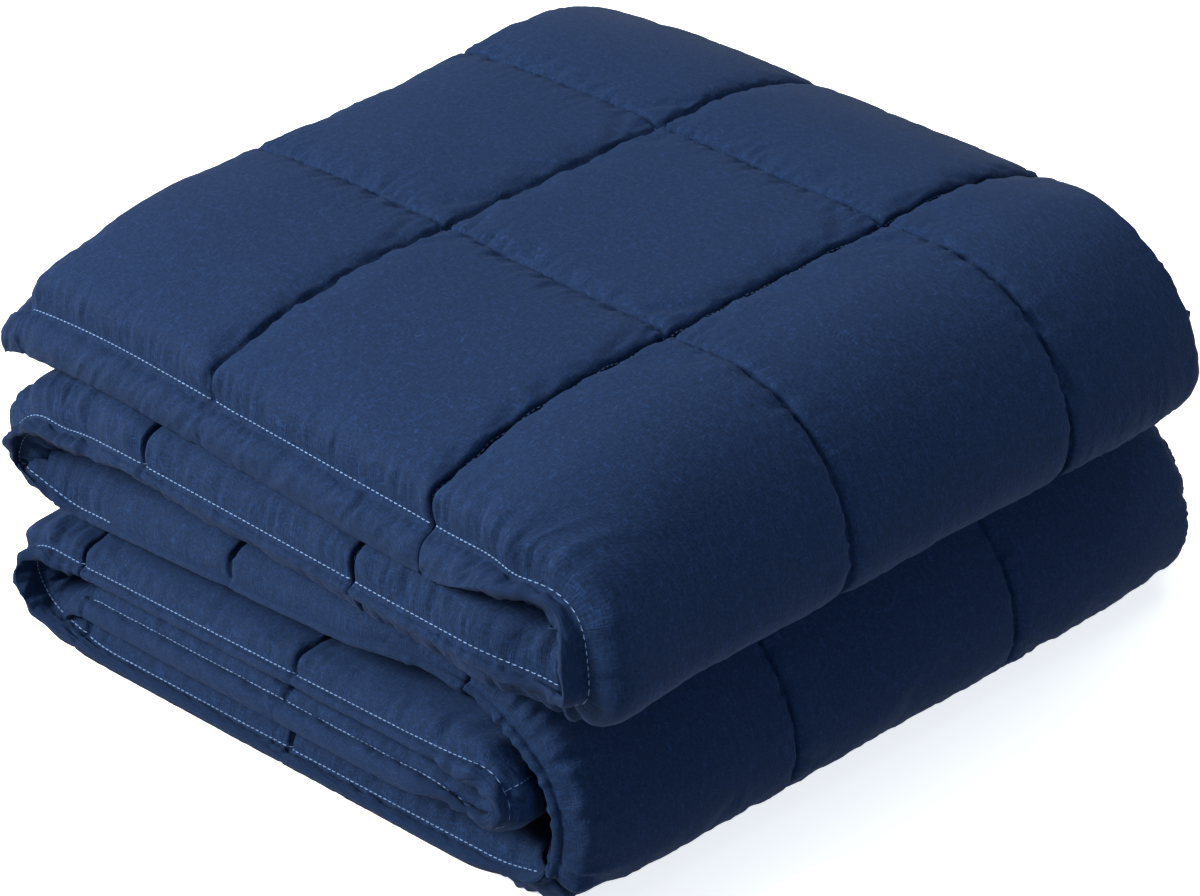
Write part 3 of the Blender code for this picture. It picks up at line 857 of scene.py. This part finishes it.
class StageSettings(bpy.types.PropertyGroup):
    """Where the camera stands."""
    lens: FloatProperty(
        name="Lens", default=120.0, min=20.0, description="Focal length of the camera, mm")
    azimuth: FloatProperty(
        name="Azimuth", default=radians(46.877), subtype="ANGLE",
        description="Direction of the camera round the blanket, from its near side")
    elevation: FloatProperty(
        name="Elevation", default=radians(30.036), subtype="ANGLE",
        description="Height of the camera above the horizon")
    distance: FloatProperty(
        name="Distance", default=1.592, unit="LENGTH",
        description="Distance of the camera from the blanket")


# ---- Materials ----

def new_material(name):
    material = bpy.data.materials.new(name)
    material.use_nodes = True
    tree = material.node_tree
    return material, tree, tree.nodes["Principled BSDF"]


def put(tree, kind, *sources, output=0, **values):
    """Add a node with its first inputs, and its named attributes and inputs, set or linked.

    Returns one of its outputs.
    """
    node = tree.nodes.new(kind)
    sockets = list(zip(node.inputs, sources))
    for name, value in values.items():
        if hasattr(node, name):
            setattr(node, name, value)
        else:
            sockets.append((node.inputs[name.replace("_", " ")], value))
    for socket, value in sockets:
        if isinstance(value, bpy.types.NodeSocket):
            tree.links.new(value, socket)
        else:
            socket.default_value = value
    return node.outputs[output]


def maths(tree, operation, *sources):
    return put(tree, "ShaderNodeMath", *sources, operation=operation)


def shades(tree, amount, colour, dark, light, start=0.0, end=1.0):
    """From a darker to a lighter shade of a colour as the amount goes from start to end."""
    ramp = tree.nodes.new("ShaderNodeValToRGB")
    for element, share, place in zip(ramp.color_ramp.elements, (dark, light), (start, end)):
        element.position = place
        element.color = [min(1.0, channel * share) for channel in colour[:3]] + [1.0]
    tree.links.new(amount, ramp.inputs["Fac"])
    return ramp.outputs["Color"]


SLUBS_PER_METRE = (420.0, 2400.0)     # along a thread and across the threads
MOTTLE_PER_METRE = 330.0


def cloth_material(colour):
    """Matt, closely woven cotton: fine slubs in warp and weft, and a soft sheen."""
    material, tree, shader = new_material(CLOTH_SLOT)
    uv = put(tree, "ShaderNodeUVMap", uv_map="cloth")
    grains, lines = [], []
    for stretch in (SLUBS_PER_METRE, SLUBS_PER_METRE[::-1]):
        place = put(tree, "ShaderNodeMapping", uv, Scale=(*stretch, 1.0))
        grains.append(put(tree, "ShaderNodeTexNoise", place, Scale=1.0, Detail=2.0, Roughness=0.6))
        spun = put(tree, "ShaderNodeTexNoise", place, Scale=0.34, Detail=1.0, Distortion=0.5)
        off_line = maths(tree, "ABSOLUTE", maths(tree, "SUBTRACT", spun, 0.5))
        lines.append(put(tree, "ShaderNodeMapRange", off_line,
                         From_Max=0.035, To_Min=1.0, To_Max=0.0))
    mottle = put(tree, "ShaderNodeTexNoise", uv, Scale=MOTTLE_PER_METRE, Detail=2.0, Roughness=0.6)
    shown = put(tree, "ShaderNodeMapRange", mottle, From_Min=0.38, From_Max=0.60)
    slubs = maths(tree, "MULTIPLY", maths(tree, "ADD", *lines), shown)
    weave = maths(tree, "MULTIPLY_ADD", maths(tree, "ADD", *grains), 0.95, 0.0)
    height = maths(tree, "MULTIPLY_ADD", slubs, 0.42, weave)
    amount = put(tree, "ShaderNodeMapRange", height, From_Min=0.76, From_Max=1.56)
    tree.links.new(shades(tree, amount, colour, 0.70, 2.1), shader.inputs["Base Color"])
    bump = put(tree, "ShaderNodeBump", Strength=0.6, Distance=0.0005, Height=height)
    tree.links.new(bump, shader.inputs["Normal"])
    shader.inputs["Roughness"].default_value = 0.8
    shader.inputs["Specular IOR Level"].default_value = 0.10
    shader.inputs["Sheen Weight"].default_value = 0.04
    shader.inputs["Sheen Roughness"].default_value = 0.4
    shader.inputs["Sheen Tint"].default_value = (0.35, 0.5, 0.9, 1.0)
    return material


def thread_material(colour):
    """Twisted polyester thread, a little shiny."""
    material, tree, shader = new_material("sewing_thread")
    place = put(tree, "ShaderNodeTexCoord", output="Object")
    twist = put(tree, "ShaderNodeTexNoise", place, Scale=900.0, Detail=1.0)
    tree.links.new(shades(tree, twist, colour, 0.7, 1.3, 0.3, 0.7), shader.inputs["Base Color"])
    shader.inputs["Roughness"].default_value = 0.5
    return material


def floor_material(colour):
    """Plain pale floor with a trace of unevenness in its tone, lit up so that shadows stay soft."""
    material, tree, shader = new_material("pale_floor")
    place = put(tree, "ShaderNodeTexCoord", output="Object")
    cloud = put(tree, "ShaderNodeTexNoise", place, Scale=3.0, Detail=2.0)
    tree.links.new(shades(tree, cloud, colour, 0.985, 1.0), shader.inputs["Base Color"])
    shader.inputs["Roughness"].default_value = 0.7
    shader.inputs["Emission Color"].default_value = colour
    shader.inputs["Emission Strength"].default_value = 0.82
    return material


# ---- Operators ----

made = {"section": None, "grids": []}


class BLANKET_OT_quilt(bpy.types.Operator):
    """Make the folded quilt: its crowned squares, seams, hems and folds"""
    bl_idname = "blanket.quilt"
    bl_label = "Quilt"

    def execute(self, context):
        quilt, cloth = context.scene.blanket_quilt, context.scene.blanket_cloth
        material = cloth_material(context.scene.blanket_colours.cloth)
        made["section"] = Section()
        for piece in PIECES:
            obj, faces, places, widths = make_piece(made["section"], piece, quilt, cloth)
            obj.data.materials.append(material)
            made["grids"].append((faces, places, widths))
            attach(obj, BODY)
            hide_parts(CLOTH_NODE)
        return {"FINISHED"}


def on_grid(grid, places, widths, s, w):
    """Points of a grid at the cloth's own coordinates s and w, between its rows and columns."""
    row = np.clip(np.searchsorted(places, s, side="right") - 1, 0, len(places) - 2)
    column = np.clip(np.searchsorted(widths, w, side="right") - 1, 0, len(widths) - 2)
    u = ((s - places[row]) / (places[row + 1] - places[row]))[:, None]
    v = ((w - widths[column]) / (widths[column + 1] - widths[column]))[:, None]
    return ((grid[row, column] * (1 - u) + grid[row + 1, column] * u) * (1 - v)
            + (grid[row, column + 1] * (1 - u) + grid[row + 1, column + 1] * u) * v)


NORMAL_REACH = 1.5    # how far apart the points are that give the cloth's slope at a stitch
# A stitch has three rings of three points: the corners of its sides, and of a cap at each end.
STITCH_FACES = [[ring + side, ring + 3 + side, ring + 3 + (side + 1) % 3, ring + (side + 1) % 3]
                for ring in (0, 3) for side in range(3)] + [[0, 2, 1], [6, 7, 8]]


class BLANKET_OT_stitches(bpy.types.Operator):
    """Sew the seams: a row of short stitches along each one, on both faces"""
    bl_idname = "blanket.stitches"
    bl_label = "Stitches"

    def execute(self, context):
        if made["section"] is None:
            raise RuntimeError("make the quilt before its stitches")
        stitch = context.scene.blanket_stitch
        material = thread_material(context.scene.blanket_colours.thread)
        section = made["section"]
        pitch, length, radius = stitch.pitch / MM, stitch.length / MM, stitch.thread / 2 / MM
        lines = {"stitches_long": [], "stitches_cross": []}
        starts = np.arange(section.seams[0], section.seams[-1] - pitch, pitch)
        showing = starts[section.tucked_at(starts) < 0.5]
        for number, seam in enumerate(side_seams()):
            sewn = showing if number == 0 else starts
            lines["stitches_long"].append((sewn, np.full(len(sewn), seam), (length, 0.0)))
        starts = np.arange(0.0, WIDTH - pitch, pitch)
        for seam in section.seams:
            lines["stitches_cross"].append((np.full(len(starts), seam), starts, (0.0, length)))
        for name, rows in lines.items():
            points, faces = [], []
            for row in rows:
                for face in (0, 1):
                    self.sew(points, faces, face, *row, radius)
            mesh = new_mesh(name, np.concatenate(points), faces)
            mesh.materials.append(material)
            obj = show(mesh)
            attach(obj, BODY)
        return {"FINISHED"}

    @staticmethod
    def sew(points, faces, face, s, w, run, radius):
        """Stitches of one row on one face: a bent three-sided thread for each."""
        for grids, places, widths in made["grids"]:
            inside = (s >= places[0]) & (s + run[0] <= places[-1])
            if not inside.any():
                continue
            grid, outward = grids[face], (1 if face == 0 else -1)
            at_s, at_w = s[inside], w[inside]
            centres, normals = [], []
            for share, lift in ((0.0, -0.3), (0.5, 1.1), (1.0, -0.3)):
                here_s, here_w = at_s + run[0] * share, at_w + run[1] * share
                centre = on_grid(grid, places, widths, here_s, here_w)
                beside_s = on_grid(grid, places, widths, here_s + NORMAL_REACH, here_w)
                beside_w = on_grid(grid, places, widths, here_s, here_w + NORMAL_REACH)
                normal = unit(np.cross(beside_s - centre, beside_w - centre)) * outward
                centres.append(centre + normal * radius * lift)
                normals.append(normal)
            heading = unit(centres[2] - centres[0])
            rings = []
            for centre, normal in zip(centres, normals):
                across = np.cross(heading, normal)
                for turn in (90.0, 210.0, 330.0):
                    spoke = normal * sin(radians(turn)) + across * cos(radians(turn))
                    rings.append(centre + radius * spoke)
            block = np.stack(rings, axis=1)
            first = sum(len(each) for each in points)
            base = first + block.shape[1] * np.arange(len(at_s))[:, None]
            points.append(block.reshape(-1, 3))
            for corners in STITCH_FACES:
                faces.extend((base + np.array(corners)[None, :]).tolist())


# Soft lights, in metres and watts, all turned to the point LIT_POINT.
Light = namedtuple("Light", "name place size watts colour")
LIGHTS = (
    Light("key",        (-1.8, -2.4, 1.8), 1.5, 262.0, (1.0, 1.0, 1.0)),
    Light("overhead",   (-0.6,  0.6, 2.9), 3.0,  68.0, (1.0, 1.0, 1.0)),
    Light("right_fill", ( 2.6, -0.2, 1.2), 1.6,  28.0, (0.55, 0.75, 1.0)),
)
LIT_POINT = (0.0, 0.0, 0.08)
WORLD_STRENGTH = 0.16
FLOOR_REACH = 6.0
FLOOR_DROP = 0.0002                # keeps the floor clear of the cloth that rests on it
AIM_SQUARES = (1.4, 1.4, 0.6)      # the point at the picture's middle, in squares of the quilt
SHIFT_PIXELS = (-23.153, -7.283)
PICTURE_WIDTH = 1200


class BLANKET_OT_stage(bpy.types.Operator):
    """Set the floor, the studio light and the camera"""
    bl_idname = "blanket.stage"
    bl_label = "Stage"

    def execute(self, context):
        scene = context.scene
        floor_mesh = bpy.data.meshes.new("floor")
        bm = bmesh.new()
        bmesh.ops.create_grid(bm, x_segments=8, y_segments=8, size=FLOOR_REACH)
        bm.to_mesh(floor_mesh)
        bm.free()
        floor_mesh.materials.append(floor_material(scene.blanket_colours.floor))
        floor = show(floor_mesh)
        floor.location = (0.0, 0.0, -FLOOR_DROP)
        floor.visible_diffuse = False
        self.add_world(scene)
        for light in LIGHTS:
            self.add_light(light)
        self.add_camera(scene)
        scene.view_settings.view_transform = "Standard"
        return {"FINISHED"}

    @staticmethod
    def add_world(scene):
        world = bpy.data.worlds.new("studio")
        world.use_nodes = True
        background = world.node_tree.nodes["Background"]
        background.inputs["Color"].default_value = (1.0, 1.0, 1.0, 1.0)
        background.inputs["Strength"].default_value = WORLD_STRENGTH
        scene.world = world

    @staticmethod
    def add_light(light):
        data = bpy.data.lights.new(light.name, "AREA")
        data.color, data.energy, data.size = light.colour, light.watts, light.size
        lamp = bpy.data.objects.new(light.name, data)
        lamp.location = light.place
        heading = Vector(LIT_POINT) - Vector(light.place)
        lamp.rotation_euler = heading.to_track_quat("-Z", "Y").to_euler()
        bpy.context.scene.collection.objects.link(lamp)

    @staticmethod
    def add_camera(scene):
        """The fitted view, aimed at the point that the picture's middle shows."""
        stage = scene.blanket_stage
        a, e = stage.azimuth, stage.elevation
        back = Vector((sin(a) * cos(e), -cos(a) * cos(e), sin(e)))
        aim = (Vector(AIM_SQUARES) * SQUARE - Vector((*BLOCK_MIDDLE, 0.0))) * MM
        data = bpy.data.cameras.new("camera")
        data.lens = stage.lens
        data.sensor_width = 36.0
        data.shift_x, data.shift_y = (shift / PICTURE_WIDTH for shift in SHIFT_PIXELS)
        camera = bpy.data.objects.new("camera", data)
        camera.location = aim + back * stage.distance
        camera.rotation_euler = (-back).to_track_quat("-Z", "Y").to_euler()
        scene.collection.objects.link(camera)
        scene.camera = camera


class BLANKET_PT_panel(bpy.types.Panel):
    """The blanket's pieces, its stage and their settings"""
    bl_idname = "BLANKET_PT_panel"
    bl_label = "Folded blanket"
    bl_space_type = "VIEW_3D"
    bl_region_type = "UI"
    bl_category = "Blanket"

    def draw(self, context):
        scene = context.scene
        for group in (getattr(scene, name) for name in SETTINGS):
            box = self.layout.box()
            for name in group.__annotations__:
                box.prop(group, name)
        for operator in OPERATORS:
            self.layout.operator(operator.bl_idname)


OPERATORS = (BLANKET_OT_quilt, BLANKET_OT_stitches, BLANKET_OT_stage)
SETTINGS = {
    "blanket_quilt": QuiltSettings,
    "blanket_cloth": ClothSettings,
    "blanket_stitch": StitchSettings,
    "blanket_colours": ColourSettings,
    "blanket_stage": StageSettings,
}
CLASSES = tuple(SETTINGS.values()) + OPERATORS + (BLANKET_PT_panel,)


def register():
    for item in CLASSES:
        bpy.utils.register_class(item)
    for name, group in SETTINGS.items():
        setattr(bpy.types.Scene, name, PointerProperty(type=group))


def unregister():
    for name in SETTINGS:
        delattr(bpy.types.Scene, name)
    for item in reversed(CLASSES):
        bpy.utils.unregister_class(item)


def main():
    register()
    bpy.ops.blanket.quilt()
    bpy.ops.blanket.stitches()
    bpy.ops.blanket.stage()


if __name__ == "__main__":
    main()
